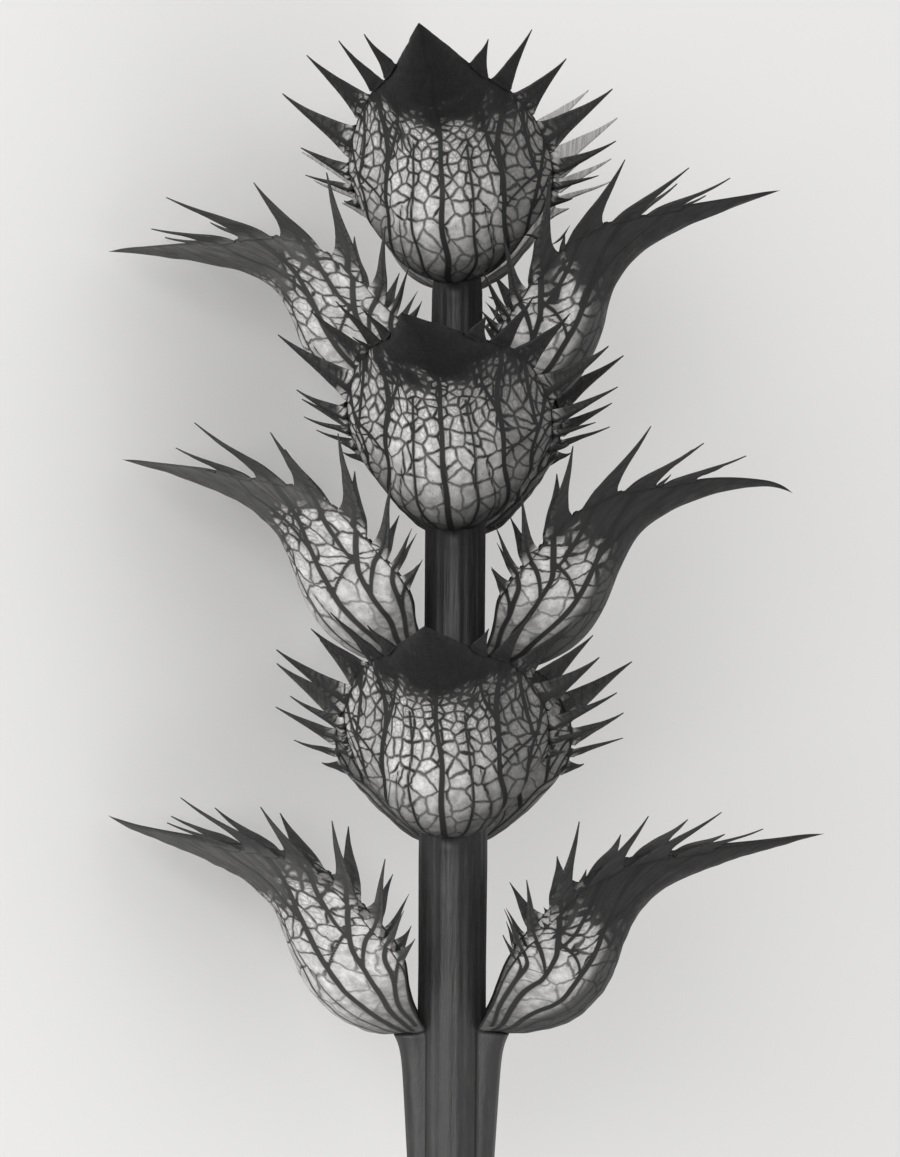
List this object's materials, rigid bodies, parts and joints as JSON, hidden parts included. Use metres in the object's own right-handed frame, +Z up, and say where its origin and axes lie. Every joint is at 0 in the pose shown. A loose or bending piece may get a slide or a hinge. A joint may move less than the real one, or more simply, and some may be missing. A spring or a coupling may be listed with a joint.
{
  "type": "acanthus flower spike section",
  "caption": "Cut length of an acanthus flower spike without its flowers: a ribbed stem with spiny, veined, cup-shaped bracts in crossed pairs, lying down.",
  "frame": {"origin": "centre of the bounding box's floor, under the middle of the lying spike", "axes": "+Y along the stem from its cut end to the tip, +Z up; it lies on the blade tips of its left and rear rows, with the front and right rows turned up 45 degrees"},
  "size_m": [0.0548, 0.112, 0.0534],
  "materials": {
    "stem": "dark ribbed stem, satin",
    "bract": "thin dry membrane with dark raised veins, matte",
    "bract_dark": "thin dry membrane with dark raised veins, darker, matte",
    "bract_pale": "very thin pale membrane, matte",
    "dry_thread": "wiry dried flower remains, matte"
  },
  "bodies": {
    "root": {"stem": "stem", "dried_thread_1": "dry_thread", "dried_thread_2": "dry_thread", "front_bract_1": "bract", "front_bract_2": "bract", "front_bract_3": "bract", "rear_bract_1": "bract_pale", "rear_bract_2": "bract", "rear_bract_3": "bract", "left_bract_1": "bract", "left_bract_2": "bract", "left_bract_3": "bract", "right_bract_1": "bract_dark", "right_bract_2": "bract_dark", "right_bract_3": "bract_dark"}
  },
  "joints": []
}
